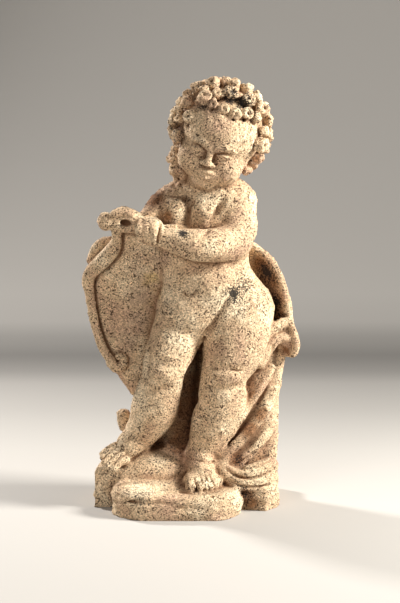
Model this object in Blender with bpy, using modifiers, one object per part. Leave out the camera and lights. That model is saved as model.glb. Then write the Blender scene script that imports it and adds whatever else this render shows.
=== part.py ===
"""A garden putto carved from one block of sandstone.

The child stands on a low rocky base, holds the top of a scrolled shield at its
right side, and has a cloth gathered behind its hips that falls to the ground.
Metres, +Z up. The child faces -Y. The origin is the middle of the underside.
"""

import math

import bmesh
import bpy
from mathutils import Euler, Matrix, Vector

# Driving sizes, in metres
FIGURE_HEIGHT = 0.80        # from the top of the base, at the left sole, to the crown
BASE_HEIGHT = 0.050         # ground to the top of the base
LOBE_WIDTH = 0.250          # rounded front lobe of the base
LOBE_MIDDLE = -0.024        # its middle, beside the figure's axis
LOBE_REACH = 0.166          # how far the front lobe stands in front of the figure's axis
LOBE_CORNER = 0.075         # radius of its front corners in plan
LEFT_BLOCK_REACH = 0.188    # outer face of the left block from the figure's axis
RIGHT_BLOCK_REACH = 0.174   # outer face of the right block from the figure's axis
LEFT_BLOCK_RISE = 0.030     # top of the left block above the top of the base
RIGHT_BLOCK_RISE = 0.014    # top of the right block above the top of the base
LEFT_BLOCK_TAPER = 0.012    # how much shorter the left block's back edge is
BLOCKS_FRONT = 0.058        # how far the side blocks stand in front of the axis
RIGHT_BLOCK_STEP = 0.034    # how far the right block stands in front of the left one
RIGHT_CORNER = 0.040        # cut-off front corner of the right block
BASE_BACK = 0.104           # back face of the base behind the axis
LOBE_DROP = 0.004           # the front lobe's top below the sole
BASE_ROUNDING = 0.018       # worn edge of the base
SHIELD_THICKNESS = 0.026
SHIELD_BORDER = 0.013       # radius of the rolled border
SHIELD_BULGE = 0.010        # how far the middle of the field stands proud
CLOTH_ROLL = 0.011          # radius of the cloth's rolled edge
CLOTH_FOLD = 0.010          # depth of the long folds down the back

# How the block is worked
BODY_VOXEL = 0.0045
DETAIL_VOXEL = 0.0035
FINISH_VOXEL = 0.0035
TRIANGLES = 9600            # the faceted solid's budget
SAW_DEPTH = 0.012           # the base is built this far below the ground, then sawn flat

# Places and radii of the free forms are in thousandths of the figure's height,
# measured from the axis at the top of the base: x to the right, y back, z up.
MIL = FIGURE_HEIGHT / 1000

SANDSTONE = (0.66, 0.53, 0.37, 1.0)


def place(x, y, z):
    return Vector((x * MIL, y * MIL, BASE_HEIGHT + z * MIL))


def collection(name):
    made = bpy.data.collections.new(name)
    bpy.context.scene.collection.children.link(made)
    return made


def taken_mesh(obj):
    """The object's evaluated mesh in world space; the object itself is removed."""
    bpy.context.view_layer.update()
    graph = bpy.context.evaluated_depsgraph_get()
    mesh = bpy.data.meshes.new_from_object(obj.evaluated_get(graph))
    mesh.transform(obj.matrix_world)
    bpy.data.objects.remove(obj)
    return mesh


def ball(centre, radii, turn=(0, 0, 0)):
    """An ellipsoid, its turn in degrees about X, Y and Z."""
    made = bmesh.new()
    angles = Euler([math.radians(a) for a in turn]).to_matrix().to_4x4()
    stretch = Matrix.Diagonal((*[r * MIL for r in radii], 1))
    where = Matrix.Translation(place(*centre)) @ angles @ stretch
    bmesh.ops.create_uvsphere(made, u_segments=28, v_segments=18, radius=1, matrix=where)
    mesh = bpy.data.meshes.new("ball")
    made.to_mesh(mesh)
    made.free()
    return [mesh]


def limb(*stations):
    """A tapering round form through (x, y, z, radius) stations, with round ends."""
    curve = bpy.data.curves.new("limb", "CURVE")
    curve.dimensions = "3D"
    curve.bevel_depth = MIL
    curve.bevel_resolution = 5
    curve.resolution_u = 6
    curve.use_fill_caps = True
    spline = curve.splines.new("BEZIER")
    spline.bezier_points.add(len(stations) - 1)
    for point, (x, y, z, radius) in zip(spline.bezier_points, stations):
        point.co = place(x, y, z)
        point.radius = radius
        point.handle_left_type = point.handle_right_type = "AUTO"
    obj = bpy.data.objects.new("limb", curve)
    bpy.context.scene.collection.objects.link(obj)
    meshes = [taken_mesh(obj)]
    bpy.data.curves.remove(curve)
    for x, y, z, radius in (stations[0], stations[-1]):
        meshes += ball((x, y, z), (radius, radius, radius))
    return meshes


def sheet(rows, thickness):
    """A thick shell on a grid of points, one row of points after another."""
    made = bmesh.new()
    grid = [[made.verts.new(point) for point in row] for row in rows]
    for upper, lower in zip(grid, grid[1:]):
        for i in range(len(upper) - 1):
            made.faces.new((upper[i], upper[i + 1], lower[i + 1], lower[i]))
    mesh = bpy.data.meshes.new("sheet")
    made.to_mesh(mesh)
    made.free()
    obj = bpy.data.objects.new("sheet", mesh)
    bpy.context.scene.collection.objects.link(obj)
    shell = obj.modifiers.new("thickness", "SOLIDIFY")
    shell.thickness = thickness
    shell.offset = 0
    return [taken_mesh(obj)]


def worked(meshes, name, voxel, soften, home):
    """Joins overlapping forms into one closed skin and wears its creases round."""
    joined = bmesh.new()
    for mesh in meshes:
        joined.from_mesh(mesh)
        bpy.data.meshes.remove(mesh)
    mesh = bpy.data.meshes.new(name)
    joined.to_mesh(mesh)
    joined.free()
    obj = bpy.data.objects.new(name, mesh)
    home.objects.link(obj)
    skin = obj.modifiers.new("one skin", "REMESH")
    skin.mode = "VOXEL"
    skin.voxel_size = voxel
    wear = obj.modifiers.new("wear", "SMOOTH")
    wear.factor = 0.5
    wear.iterations = soften
    return obj


# The child's body, limb by limb

def torso():
    return (
        ball((52, 8, 402), (108, 80, 78))
        + ball((112, 2, 450), (82, 68, 62), (0, 24, 0))
        + ball((38, -8, 470), (100, 84, 96), (0, 0, -15))
        + ball((34, -8, 530), (94, 78, 90), (0, 0, -12))
        + limb((96, -14, 584, 50), (98, -4, 530, 49), (112, 0, 480, 56))
        + ball((32, 2, 625), (88, 66, 98), (0, 0, -12))
        + ball((64, -34, 662), (40, 28, 34))
        + ball((-16, -36, 660), (40, 28, 34))
        + limb((-34, 14, 692, 42), (34, 16, 704, 52), (104, 6, 692, 56))
        + limb((48, 6, 712, 62), (60, -10, 790, 58))
        + ball((-52, -34, 640), (26, 30, 40))
        + ball((112, 58, 382), (66, 52, 60))
        + ball((2, 56, 380), (62, 50, 58)))


def left_leg():
    return (
        limb((128, 6, 420, 82), (116, -12, 348, 81), (94, -36, 290, 63), (84, -42, 261, 58),
             (75, -35, 201, 62), (64, -30, 158, 64), (42, -32, 99, 51), (22, -35, 52, 36))
        + ball((90, -80, 268), (34, 22, 30)))


def right_leg():
    return (
        limb((-20, -4, 405, 74), (-46, -38, 345, 62), (-60, -64, 288, 56), (-70, -64, 248, 54),
             (-88, -48, 191, 57), (-102, -42, 150, 50), (-126, -35, 112, 40), (-148, -44, 88, 33))
        + ball((-62, -102, 276), (30, 20, 28)))


def arms():
    return (
        limb((104, 4, 682, 61), (112, -14, 632, 54), (104, -46, 592, 50))
        + limb((104, -50, 590, 48), (62, -86, 587, 44), (12, -104, 590, 41),
               (-38, -108, 602, 31), (-70, -106, 609, 26))
        + limb((-36, 14, 700, 46), (-74, -12, 684, 36), (-100, -38, 652, 27), (-126, -60, 634, 22)))


def toes(knuckles, tips, radii):
    """Five toes, from the big toe on the left foot and from the small one on the right."""
    made = []
    for knuckle, tip, radius in zip(knuckles, tips, radii):
        made += limb((*knuckle, radius), (*tip, radius))
    return made


def left_foot():
    return (
        limb((22, -36, 50, 37), (28, -66, 38, 38), (32, -98, 20, 34))
        + ball((35, -102, 10), (48, 36, 23))
        + ball((18, -22, 20), (35, 34, 28))
        + toes(((2, -116, 20), (20, -118, 20), (33, -114, 20), (45, -108, 20), (56, -98, 18)),
               ((5, -150, 8), (27, -153, 6), (41, -148, 6), (53, -140, 6), (63, -128, 8)),
               (13, 9, 8.5, 8.5, 8.5)))


def right_foot():
    return (
        limb((-148, -44, 88, 33), (-164, -58, 74, 30), (-178, -74, 60, 24))
        + ball((-180, -76, 56), (28, 34, 20), (0, 30, 30))
        + ball((-134, -6, 84), (27, 27, 25))
        + toes(((-184, -62, 80), (-182, -70, 72), (-178, -78, 64), (-172, -84, 56), (-163, -90, 48)),
               ((-210, -72, 66), (-211, -80, 56), (-208, -88, 46), (-202, -94, 37), (-192, -99, 29)),
               (8, 8.5, 8.5, 9, 11)))


def hands():
    """The left hand closes on the shield's border; the right lies over its top scroll."""
    left = ball((-90, -100, 622), (30, 26, 30))
    for i in range(4):
        height = 648 - 17 * i
        left += limb((-88, -116, height, 9), (-114, -124, height - 3, 10), (-130, -106, height - 6, 9))
    right = ball((-146, -66, 660), (36, 30, 20), (0, -6, 0))
    for i in range(4):
        depth = -100 + 18 * i
        right += limb((-156, depth, 672, 10), (-186, depth - 4, 674, 10), (-206, depth - 4, 654, 10))
    return left + right


# The head and its curls

HEAD = Vector((68, -33, 845))
HEAD_TURN = Euler((math.radians(17), math.radians(17), math.radians(-5)), "ZXY").to_matrix()
LOW_CURLS = ((-46, -8, 800, 22), (-42, -2, 770, 21), (-30, 4, 744, 20), (-14, 16, 772, 40))


def in_head(x, y, z):
    return tuple(HEAD + HEAD_TURN @ Vector((x, y, z)))


def head_ball(centre, radii):
    turn = [math.degrees(a) for a in HEAD_TURN.to_euler()]
    return ball(in_head(*centre), radii, turn)


def head():
    return (
        head_ball((0, 22, 22), (100, 100, 98))
        + head_ball((0, -14, -30), (84, 72, 84))
        + head_ball((0, -36, 30), (82, 62, 58))
        + head_ball((-42, -46, -46), (42, 40, 40))
        + head_ball((42, -46, -46), (42, 40, 40))
        + head_ball((0, -58, -90), (34, 32, 26))
        + head_ball((0, -60, -60), (40, 36, 30))
        + head_ball((-32, -80, 2), (22, 10, 8))
        + head_ball((32, -80, 2), (22, 10, 8))
        + head_ball((-29, -72, -14), (17, 13, 9))
        + head_ball((29, -72, -14), (17, 13, 9))
        + head_ball((0, -92, -16), (9, 12, 20))
        + head_ball((0, -98, -34), (13, 14, 11))
        + head_ball((0, -91, -58), (20, 11, 6))
        + head_ball((0, -89, -70), (16, 11, 6)))


def curls():
    """Domed curls over the scalp on a sunflower spiral, leaving the face bare."""
    count = 112
    golden = math.pi * (3 - math.sqrt(5))
    made = head_ball((-6, 32, 22), (102, 96, 104))
    for i in range(count):
        up = 1 - 2 * (i + 0.5) / count
        across = math.sqrt(1 - up * up)
        x, y, z = across * math.sin(golden * i), across * math.cos(golden * i), up
        on_face = y < -0.10 and z < 0.40 and abs(x) < 0.80
        under_head = z < -0.86 or (z < -0.45 and y < 0.05 and abs(x) < 0.72)
        if on_face or under_head:
            continue
        size = 19.5 + 2.5 * math.sin(i * 2.4)
        made += head_ball((x * 118 - 6, 28 + y * 110, 14 + z * 118), (size, size, size))
    for x, y, z, size in LOW_CURLS:
        made += ball((x, y, z), (size, size, size))
    return made


# The shield, its rolled border and its scrolls

SHIELD_EDGE = (
    (-165, -74, 640), (-176, -66, 616), (-196, -58, 590), (-226, -48, 562), (-252, -40, 536),
    (-256, -34, 500), (-248, -30, 462), (-244, -25, 420), (-235, -15, 362), (-220, -8, 322),
    (-196, -2, 292))
SHIELD_AXIS = -99           # middle of the shield across, in thousandths
SHIELD_LEAN = 96            # how far its foot lies behind its top


def shield_y(x, z):
    """Front-to-back place of the shield's middle surface."""
    lean = SHIELD_LEAN * (1 - math.exp((z - 640) / 140)) - 66
    across = (x - SHIELD_AXIS) / 165
    return lean - SHIELD_BULGE / MIL * (1 - min(1, across * across))


def shield():
    edge = SHIELD_EDGE + ((-176, 4, 262), (-148, 8, 222), (-112, 12, 180))
    rows = []
    for x, _, z in edge:
        row = []
        for i in range(9):
            across = x + (2 * (SHIELD_AXIS - x)) * i / 8
            row.append(place(across, shield_y(across, z), z))
        rows.append(row)
    border = [(x, shield_y(x, z) - 22, z, SHIELD_BORDER / MIL) for x, _, z in SHIELD_EDGE]
    tail = limb((-196, 4, 292, 15), (-176, -2, 286, 15), (-168, -6, 314, 13))
    rear = limb((-196, -20, 588, 8), (-220, -12, 572, 13), (-240, -2, 552, 14), (-246, 8, 526, 14))
    hem = limb((-182, 22, 274, 11), (-150, 26, 228, 11), (-116, 28, 186, 11))
    scroll = limb((-120, -76, 652, 22), (-155, -84, 650, 22), (-205, -84, 648, 17))
    return sheet(rows, SHIELD_THICKNESS) + limb(*border) + tail + rear + hem + scroll


# The cloth behind the hips and down the child's left side

def cloth_arc():
    roll = CLOTH_ROLL / MIL
    rim = [(146, 44, 580, roll), (170, 40, 566, roll), (195, 36, 544, roll), (216, 32, 512, roll),
           (232, 30, 470, roll), (244, 28, 424, roll), (250, 26, 380, roll), (254, 24, 346, roll)]
    fall = [(226, 26, 300), (214, 26, 242), (206, 26, 192), (204, 26, 116), (198, 26, 40), (194, 26, -10)]
    rows = []
    for x, y, z in [station[:3] for station in rim] + fall:
        row = []
        for i in range(25):
            part = i / 24
            swing = math.pi * part
            out = x - 40
            reach = out + (108 - out) * min(1, 2 * part)
            fold = CLOTH_FOLD / MIL * math.sin(8 * swing + z / 90) * (1 - z / 700)
            depth = y + (74 + fold) * math.sin(swing)
            row.append(place(40 + reach * math.cos(swing), depth, z - 150 * part * z / 580))
        rows.append(row)
    return (
        limb(*rim)
        + sheet(rows, 1.6 * CLOTH_ROLL)
        + limb((184, -14, 344, 14), (206, -4, 366, 17), (228, 4, 372, 17), (246, 12, 360, 17))
        + limb((242, 14, 346, 20), (258, 18, 328, 18), (262, 20, 306, 13)))


def cloth_fall():
    """The mass of cloth beside and behind the legs, with its fold ridges."""
    mass = (
        limb((190, 24, 330, 32), (172, 24, 250, 42), (160, 24, 170, 54), (150, 24, 90, 62),
             (146, 20, 10, 64))
        + limb((120, 40, 380, 50), (116, 48, 200, 56), (110, 50, 20, 60))
        + limb((60, 46, 380, 50), (52, 48, 200, 60), (50, 50, 20, 66))
        + limb((-20, 34, 300, 40), (-30, 46, 180, 52), (-40, 50, 20, 60)))
    ridges = (
        limb((226, 20, 305, 15), (214, 15, 242, 16), (206, 8, 192, 18), (204, 2, 116, 19),
             (200, -8, 60, 20), (188, -20, 20, 22))
        + limb((200, -4, 262, 12), (165, -16, 209, 12), (138, -24, 172, 12), (104, -32, 118, 11),
               (66, -40, 62, 10))
        + limb((204, -8, 210, 16), (180, -26, 160, 18), (147, -38, 122, 18), (112, -48, 88, 17),
               (80, -52, 58, 14))
        + limb((206, -16, 136, 14), (178, -34, 108, 15), (142, -46, 72, 14), (114, -54, 50, 12))
        + limb((130, -10, 60, 44), (90, -10, 50, 40), (70, -10, 30, 40))
        + limb((60, -56, 42, 11), (84, -72, 30, 13), (119, -80, 28, 14), (153, -78, 32, 15),
               (190, -62, 34, 16))
        + limb((56, -62, 30, 9), (82, -84, 14, 11), (120, -96, 6, 13), (166, -98, 2, 15)))
    return mass + ridges


# The rocky base

def worn_block(outline, top):
    """An upright block on an outline in plan, its top and corners worn round."""
    made = bmesh.new()
    under = [made.verts.new((x, y, -SAW_DEPTH)) for x, y in outline]
    over = [made.verts.new((x, y, top)) for x, y in outline]
    made.faces.new(under[::-1])
    made.faces.new(over)
    for i in range(len(outline)):
        j = (i + 1) % len(outline)
        made.faces.new((under[i], under[j], over[j], over[i]))
    mesh = bpy.data.meshes.new("block")
    made.to_mesh(mesh)
    made.free()
    obj = bpy.data.objects.new("block", mesh)
    bpy.context.scene.collection.objects.link(obj)
    worn = obj.modifiers.new("worn edge", "BEVEL")
    worn.width = BASE_ROUNDING
    worn.segments = 4
    worn.limit_method = "ANGLE"
    return [taken_mesh(obj)]


def lobe_outline():
    """The step that the left foot stands on: a wide front with two round corners."""
    half = LOBE_WIDTH / 2 - LOBE_CORNER
    outline = [(LOBE_MIDDLE + LOBE_WIDTH / 2, 0), (LOBE_MIDDLE - LOBE_WIDTH / 2, 0)]
    for side in (-1, 1):
        for i in range(9):
            turn = math.radians(180 + 90 * i / 8 if side < 0 else 270 + 90 * i / 8)
            x = LOBE_MIDDLE + side * half + LOBE_CORNER * math.cos(turn)
            outline.append((x, LOBE_CORNER - LOBE_REACH + LOBE_CORNER * math.sin(turn)))
    return outline


def base():
    """Two squarer blocks beside the front lobe, and the mound that the legs grow out of."""
    lap = 2 * BASE_ROUNDING
    left = worn_block(((-LEFT_BLOCK_REACH, -BLOCKS_FRONT), (lap, -BLOCKS_FRONT),
                       (lap, BASE_BACK), (-LEFT_BLOCK_REACH + LEFT_BLOCK_TAPER, BASE_BACK)),
                      BASE_HEIGHT + LEFT_BLOCK_RISE)
    right_front = -BLOCKS_FRONT - RIGHT_BLOCK_STEP
    right = worn_block(((-lap, right_front), (RIGHT_BLOCK_REACH - RIGHT_CORNER, right_front),
                        (RIGHT_BLOCK_REACH, right_front + RIGHT_CORNER),
                        (RIGHT_BLOCK_REACH, BASE_BACK), (-lap, BASE_BACK)),
                       BASE_HEIGHT + RIGHT_BLOCK_RISE)
    mound = (
        ball((-60, -20, -20), (130, 110, 40))
        + ball((-10, 30, 10), (130, 80, 90))
        + ball((-168, -50, 6), (60, 62, 40))
        + limb((-166, 24, 146, 20), (-152, 30, 120, 20), (-110, 52, 100, 34)))
    return worn_block(lobe_outline(), BASE_HEIGHT - LOBE_DROP) + left + right + mound


# Carving the block: the groups are skinned apart, then made one

def carve():
    for obj in list(bpy.data.objects):
        bpy.data.objects.remove(obj)
    workshop = collection("workshop")
    groups = [
        worked(torso() + left_leg() + right_leg() + arms(), "body", BODY_VOXEL, 9, workshop),
        worked(head(), "head", DETAIL_VOXEL, 4, workshop),
        worked(curls(), "hair", DETAIL_VOXEL, 1, workshop),
        worked(hands() + left_foot() + right_foot(), "hands and feet", DETAIL_VOXEL, 2, workshop),
        worked(shield(), "shield", DETAIL_VOXEL, 3, workshop),
        worked(cloth_arc() + cloth_fall(), "cloth", DETAIL_VOXEL, 4, workshop),
        worked(base(), "base", BODY_VOXEL, 4, workshop)]
    return workshop, [taken_mesh(group) for group in groups]


def without_voids(mesh):
    """Keeps the outer skin alone, so that the block is solid right through."""
    block = bmesh.new()
    block.from_mesh(mesh)
    waiting = set(block.verts)
    skins = []
    while waiting:
        skin = {waiting.pop()}
        edge_of_skin = list(skin)
        while edge_of_skin:
            vert = edge_of_skin.pop()
            for edge in vert.link_edges:
                other = edge.other_vert(vert)
                if other in waiting:
                    waiting.remove(other)
                    skin.add(other)
                    edge_of_skin.append(other)
        skins.append(skin)
    outer = max(skins, key=len)
    bmesh.ops.delete(block, geom=[v for skin in skins if skin is not outer for v in skin],
                     context="VERTS")
    block.to_mesh(mesh)
    block.free()


def sawn_flat(mesh):
    """Cuts the block level with the ground and closes the cut with one face."""
    block = bmesh.new()
    block.from_mesh(mesh)
    everything = block.verts[:] + block.edges[:] + block.faces[:]
    bmesh.ops.bisect_plane(block, geom=everything, plane_co=(0, 0, 0), plane_no=(0, 0, 1),
                           clear_inner=True)
    open_edges = [edge for edge in block.edges if edge.is_boundary]
    bmesh.ops.holes_fill(block, edges=open_edges)
    bmesh.ops.triangulate(block, faces=block.faces[:])
    block.to_mesh(mesh)
    block.free()


def sandstone():
    material = bpy.data.materials.new("sandstone")
    material.use_nodes = True
    shader = material.node_tree.nodes["Principled BSDF"]
    shader.inputs["Base Color"].default_value = SANDSTONE
    shader.inputs["Roughness"].default_value = 0.92
    shader.inputs["Metallic"].default_value = 0.0
    return material


def statue():
    workshop, groups = carve()
    rough = worked(groups, "rough", FINISH_VOXEL, 1, workshop)
    bpy.context.view_layer.update()
    evaluated = rough.evaluated_get(bpy.context.evaluated_depsgraph_get())
    faces = 2 * len(evaluated.data.polygons)
    lighter = rough.modifiers.new("fewer facets", "DECIMATE")
    lighter.ratio = TRIANGLES / faces
    mesh = taken_mesh(rough)
    without_voids(mesh)
    sawn_flat(mesh)
    mesh.materials.append(sandstone())
    mesh.shade_smooth()
    mesh.set_sharp_from_angle(angle=math.radians(50))
    putto = bpy.data.objects.new("putto_statue", mesh)
    collection("sandstone putto").objects.link(putto)
    corners = [Vector(corner) for corner in putto.bound_box]
    middle = sum(corners, Vector()) / len(corners)
    putto.location = (-middle.x, -middle.y, 0)
    bpy.data.collections.remove(workshop)
    return putto


statue()
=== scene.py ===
"""The looks of a sandstone putto: one carved block, weathered outdoors.

The block is carved as a volume. Each form is a distance, in thousandths of the
figure's height from its axis: x to the right, y back, z up from the base's top.
"""

import math

import bpy
import numpy as np
import openvdb
from mathutils import Euler, Matrix, Vector


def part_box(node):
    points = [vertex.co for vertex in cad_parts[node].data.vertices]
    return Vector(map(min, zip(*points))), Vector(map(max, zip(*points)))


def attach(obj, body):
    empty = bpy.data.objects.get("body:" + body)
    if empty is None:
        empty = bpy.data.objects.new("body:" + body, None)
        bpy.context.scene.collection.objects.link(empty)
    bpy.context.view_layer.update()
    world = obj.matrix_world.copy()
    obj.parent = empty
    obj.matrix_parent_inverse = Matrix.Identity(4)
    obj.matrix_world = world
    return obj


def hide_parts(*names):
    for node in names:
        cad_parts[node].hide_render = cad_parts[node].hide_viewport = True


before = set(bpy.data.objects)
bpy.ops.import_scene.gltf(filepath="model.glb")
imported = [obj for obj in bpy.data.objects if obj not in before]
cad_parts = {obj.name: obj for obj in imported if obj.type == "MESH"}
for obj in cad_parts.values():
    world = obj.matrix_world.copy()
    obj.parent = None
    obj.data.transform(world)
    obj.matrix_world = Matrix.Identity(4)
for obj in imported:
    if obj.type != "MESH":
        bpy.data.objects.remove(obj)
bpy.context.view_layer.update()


# The block
# Coarse buff sandstone, quarried as one piece and carved all round. Here it is a grid of
# distances to the carved surface: add() builds a form on, cut() takes one away.

FIGURE_HEIGHT = 0.80
BASE_HEIGHT = 0.050
AXIS_X = -0.0017
AXIS_Y = 0.0310
MIL = FIGURE_HEIGHT / 1000
STEP = 0.0017
MARGIN = 0.008
REACH = 36
FAR = 9999.0

box_low, box_high = (np.array(corner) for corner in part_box("putto_statue"))
grid_low = box_low - MARGIN
shape = np.ceil((box_high + MARGIN - grid_low) / STEP).astype(int) + 1
axis_foot = np.array((AXIS_X, AXIS_Y, BASE_HEIGHT))
lines = [((grid_low[i] + STEP * np.arange(shape[i]) - axis_foot[i]) / MIL).astype(np.float32)
         for i in range(3)]
stone = np.full(shape, REACH, np.float32)


def room(low, high):
    """The part of the block round two corners: its slices and its open coordinates."""
    where = []
    for line, a, b in zip(lines, low, high):
        first, last = np.searchsorted(line, (a - REACH, b + REACH))
        where.append(slice(max(0, first - 1), last + 1))
    x, y, z = (line[part] for line, part in zip(lines, where))
    return tuple(where), (x[:, None, None], y[None, :, None], z[None, None, :])


def add(form, blend):
    """Builds a form on, its join rounded over about the blend."""
    low, high, measure = form
    where, place = room(low, high)
    old = stone[where]
    new = measure(*place)
    spread = np.maximum(blend - np.abs(old - new), 0)
    stone[where] = np.minimum(old, new) - spread * spread / (4 * blend)


def cut(form, blend):
    """Takes a form away, its edge rounded over about the blend."""
    low, high, measure = form
    where, place = room(low, high)
    old = stone[where]
    new = -measure(*place)
    spread = np.maximum(blend - np.abs(old - new), 0)
    stone[where] = np.maximum(old, new) + spread * spread / (4 * blend)


def ball(centre, radii, turn=(0, 0, 0)):
    """An ellipsoid, its turn in degrees about X, Y and Z, or a rotation matrix."""
    radii = (radii,) * 3 if isinstance(radii, (int, float)) else radii
    if not isinstance(turn, Matrix):
        turn = Euler([math.radians(a) for a in turn]).to_matrix()
    inward = np.array(turn.transposed())
    reach = np.abs(np.array(turn)) @ np.array(radii)

    def measure(x, y, z):
        local = [inward[i][0] * (x - centre[0]) + inward[i][1] * (y - centre[1])
                 + inward[i][2] * (z - centre[2]) for i in range(3)]
        scaled = np.sqrt(sum((p / r) ** 2 for p, r in zip(local, radii)))
        steep = np.sqrt(sum((p / (r * r)) ** 2 for p, r in zip(local, radii)))
        return scaled * (scaled - 1) / np.maximum(steep, 1e-6)

    return np.array(centre) - reach, np.array(centre) + reach, measure


def smooth_route(stations, parts):
    """A Catmull-Rom curve through the stations, radii included."""
    points = np.array(stations, float)
    if len(points) < 3:
        return points
    ends = np.vstack((2 * points[0] - points[1], points, 2 * points[-1] - points[-2]))
    route = []
    for a, b, c, d in zip(ends, ends[1:], ends[2:], ends[3:]):
        for t in np.arange(parts) / parts:
            route.append(0.5 * (2 * b + (c - a) * t + (2 * a - 5 * b + 4 * c - d) * t ** 2
                                + (3 * b - a - 3 * c + d) * t ** 3))
    return np.array(route + [points[-1]])


def limb(*stations, parts=4):
    """A tapering round form through (x, y, z, radius) stations, with round ends."""
    route = smooth_route(stations, parts)
    low = (route[:, :3] - route[:, 3:]).min(axis=0)
    high = (route[:, :3] + route[:, 3:]).max(axis=0)

    def measure(x, y, z):
        least = np.full(np.broadcast_shapes(x.shape, y.shape, z.shape), 4 * REACH, np.float32)
        for a, b in zip(route, route[1:]):
            ends = np.array((a, b))
            near = []
            for axis, line in enumerate((x, y, z)):
                line = line.ravel()
                low_end = (ends[:, axis] - ends[:, 3]).min() - REACH
                high_end = (ends[:, axis] + ends[:, 3]).max() + REACH
                near.append(slice(*np.searchsorted(line, (low_end, high_end))))
            along = b[:3] - a[:3]
            px, py, pz = x[near[0]] - a[0], y[:, near[1]] - a[1], z[:, :, near[2]] - a[2]
            share = (px * along[0] + py * along[1] + pz * along[2]) / max(along @ along, 1e-6)
            share = np.clip(share, 0, 1)
            gap = np.sqrt((px - share * along[0]) ** 2 + (py - share * along[1]) ** 2
                          + (pz - share * along[2]) ** 2) - (a[3] + share * (b[3] - a[3]))
            piece = least[near[0], near[1], near[2]]
            np.minimum(piece, gap, out=piece)
        return least

    return low, high, measure


def face_y(x, z):
    """How far back the carved face lies, at a place seen from the front."""
    column = stone[np.searchsorted(lines[0], x), :, np.searchsorted(lines[2], z)]
    inside = int(np.argmax(column < 0))
    part = column[inside - 1] / (column[inside - 1] - column[inside])
    return float(lines[1][inside - 1] + part * (lines[1][inside] - lines[1][inside - 1]))


def crease(places, radius, depth, blend, ends=(0.2, 0.2)):
    """Cuts a groove into the face in front, with a share of its depth at either end."""
    depths = [depth] * len(places)
    depths[0] *= ends[0]
    depths[-1] *= ends[1]
    cut(limb(*[(x, face_y(x, z) - radius + deep, z, radius)
               for (x, z), deep in zip(places, depths)]), blend)


# The base
# The same block, left low and rough under the figure: a rounded step in front and a squarer
# block at each side. It is sawn flat below and stands by its own weight.

LOBE_MIDDLE = -30
LOBE_HALF = 156
LOBE_FRONT = -207
LOBE_CORNER = 94
LOBE_BACK = 60
LOBE_PARTS = 18
GROUND = -BASE_HEIGHT / MIL
BELOW_GROUND = 30


def prism(outline, top, rounding):
    """An upright block on a convex outline in plan, anticlockwise, with worn edges."""
    outline = np.array(outline, float)
    low = (*outline.min(axis=0), GROUND - BELOW_GROUND)
    high = (*outline.max(axis=0), top)

    def measure(x, y, z):
        inside = np.full(np.broadcast_shapes(x.shape, y.shape), -FAR, np.float32)
        for a, b in zip(outline, np.roll(outline, -1, axis=0)):
            side = b - a
            side /= np.hypot(*side)
            inside = np.maximum(inside, (x - a[0]) * side[1] - (y - a[1]) * side[0])
        across = inside + rounding
        above = z - top + rounding
        corner = np.sqrt(np.maximum(across, 0) ** 2 + np.maximum(above, 0) ** 2)
        return corner + np.minimum(np.maximum(across, above), 0) - rounding

    return low, high, measure


lobe = [(LOBE_MIDDLE + LOBE_HALF, LOBE_BACK), (LOBE_MIDDLE - LOBE_HALF, LOBE_BACK)]
for i in range(LOBE_PARTS + 1):
    turn = math.radians(180 + 180 * i / LOBE_PARTS)
    side = 1 if i > LOBE_PARTS // 2 else -1
    lobe.append((LOBE_MIDDLE + side * (LOBE_HALF - LOBE_CORNER) + LOBE_CORNER * math.cos(turn),
                 LOBE_FRONT + LOBE_CORNER + LOBE_CORNER * math.sin(turn)))
add(prism(lobe, -4, 18), 4)
add(prism(((-236, -72), (30, -72), (30, 130), (-220, 130)), 38, 12), 6)
add(prism(((-30, -80), (150, -80), (217, -66), (217, 126), (-30, 130)), 18, 14), 6)
add(prism(((112, -50), (120, -94), (186, -112), (216, -74), (216, -40)), -2, 10), 4)
add(ball((138, -88, -2), (38, 24, 16), (10, 0, 20)), 8)
add(ball((-50, -20, -24), (140, 130, 42)), 30)
add(ball((-10, 34, 10), (130, 76, 84)), 40)
add(ball((-150, -40, 2), (56, 50, 34)), 20)
add(ball((-128, -124, -10), (58, 62, 24)), 20)
cut(limb((-152, -180, -20, 4), (-112, -205, -18, 9), (-66, -212, -22, 10), (-14, -211, -30, 8),
         (34, -212, -32, 3)), 5)
cut(limb((-120, -198, -8, 4), (-96, -208, -9, 5), (-74, -212, -12, 4)), 3)
cut(limb((-196, -120, -34, 3), (-178, -170, -30, 5)), 8)
cut(limb((36, -211, -18, 3), (84, -200, -24, 7), (118, -164, -28, 5)), 5)
cut(limb((131, -150, -64, 7), (132, -118, -44, 9), (133, -104, -18, 8)), 7)
cut(limb((128, -112, -56, 8), (142, -106, -36, 9), (154, -110, -18, 4)), 8)
cut(limb((-200, -84, -40, 4), (-196, -88, 10, 6), (-186, -92, 24, 4)), 8)
for x, y, z, size in ((-176, -168, -8, 5), (-150, -196, -14, 4), (-86, -200, -6, 4), (-128, -152, 4, 5),
                      (-60, -176, -4, 4), (52, -190, -8, 4), (96, -176, -6, 5), (-98, -118, 10, 4),
                      (176, -96, 0, 5), (200, -84, -20, 4), (-214, -76, 30, 5), (-224, -78, 0, 4)):
    cut(ball((x, y, z), (1.4 * size, 1.2 * size, size)), 4)


# The legs and feet
# Parted in front by a deep gap and left joined to the stone behind. The left leg carries the
# weight; the right is bent, its foot pointing down over the base's edge.

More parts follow.
